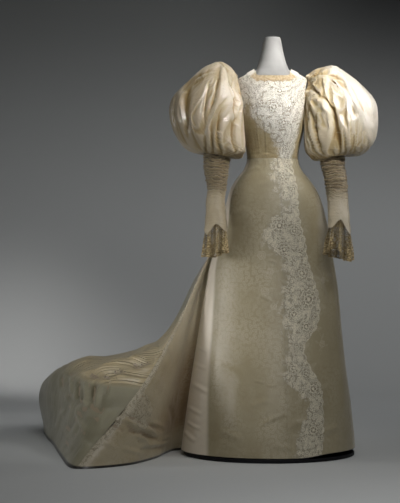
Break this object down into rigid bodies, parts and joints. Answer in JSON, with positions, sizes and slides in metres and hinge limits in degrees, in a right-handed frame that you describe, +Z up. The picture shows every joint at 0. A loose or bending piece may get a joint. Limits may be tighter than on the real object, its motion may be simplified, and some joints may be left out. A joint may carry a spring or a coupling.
{
  "type": "victorian wedding dress on a dress form",
  "caption": "Full-length ivory satin and brocade wedding dress with balloon sleeves, lace cuffs and a long train swept to one side, standing on a limbless dress form.",
  "frame": {"origin": "underside of the stand's base plate, on the axis of the pole", "axes": "+Z up; the dress faces -Y; the wearer's right is -X"},
  "size_m": [1.335, 1.6132, 1.5372],
  "materials": {
    "brocade": "ivory silk satin, plain or woven with raised matt flowers, soft sheen",
    "satin": "plain heavy ivory silk satin with a pearly sheen",
    "lace": "tan-gold cotton net lace, matt",
    "form": "smooth matt white",
    "stand": "satin black paint"
  },
  "bodies": {
    "root": {"bodice_front": "brocade", "bodice_back_right": "brocade", "bodice_back_left": "brocade", "skirt_front_right": "brocade", "skirt_front_left": "brocade", "skirt_side_left": "brocade", "skirt_side_right": "brocade", "sleeve_puff_right": "satin", "sleeve_puff_left": "satin", "sleeve_lower_right": "satin", "sleeve_lower_left": "satin", "train_back_right": "satin", "train_back_left": "satin", "neck_lace": "lace", "cuff_lace_right": "lace", "cuff_lace_left": "lace", "form_torso": "form", "stand_pole": "stand", "stand_base": "stand"}
  },
  "joints": []
}
